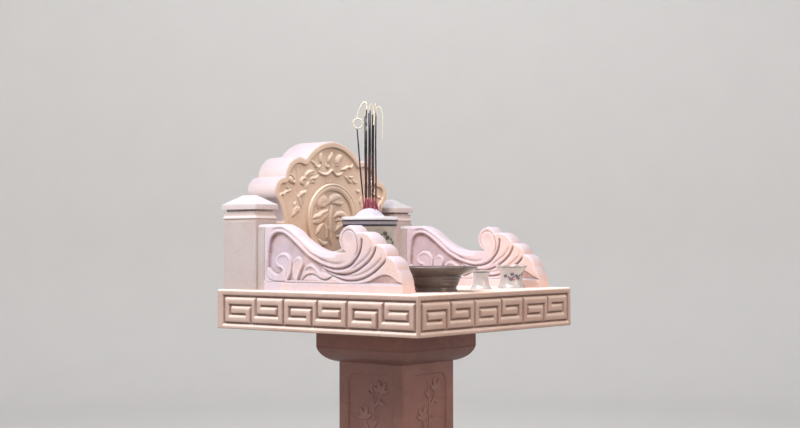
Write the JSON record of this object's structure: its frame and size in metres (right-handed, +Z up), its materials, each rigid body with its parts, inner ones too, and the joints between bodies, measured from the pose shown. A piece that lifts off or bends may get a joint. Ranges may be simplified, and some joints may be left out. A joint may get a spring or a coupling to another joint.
{
  "type": "outdoor altar",
  "caption": "Carved stone garden altar: square column, key-bordered table, scrolled wings and a scalloped back panel, with incense burner, bowl and cups.",
  "frame": {"origin": "on the ground under the middle of the table", "axes": "+Z up, -Y towards the worshipper, +X to the worshipper's right"},
  "size_m": [0.618, 0.618, 1.7342],
  "materials": {
    "stone": "honed marble, cream and pink",
    "porcelain": "white and blue-grey glaze",
    "dark_glaze": "dark brown glaze",
    "ash": "soft incense ash",
    "incense": "dark burnt stick, red foot"
  },
  "bodies": {
    "root": {"plinth_slab": "stone", "plinth_step": "stone", "column_base": "stone", "column_shaft": "stone", "capital": "stone", "table_slab": "stone", "back_panel": "stone", "back_panel_border": "stone", "medallion_ring": "stone", "medallion_relief": "stone", "crest_relief": "stone", "cloud_relief": "stone", "side_relief": "stone", "column_relief_front": "stone", "column_relief_right": "stone", "column_relief_rear": "stone", "column_relief_left": "stone", "wing_left": "stone", "wing_right": "stone", "post_shaft_left": "stone", "post_shaft_right": "stone", "post_neck_left": "stone", "post_neck_right": "stone", "post_cap_left": "stone", "post_cap_right": "stone", "incense_burner": "porcelain", "small_cup": "porcelain", "large_cup": "porcelain", "offering_bowl": "dark_glaze", "ash_mound": "ash", "ash_curls": "ash", "incense_sticks": "incense"}
  },
  "joints": []
}
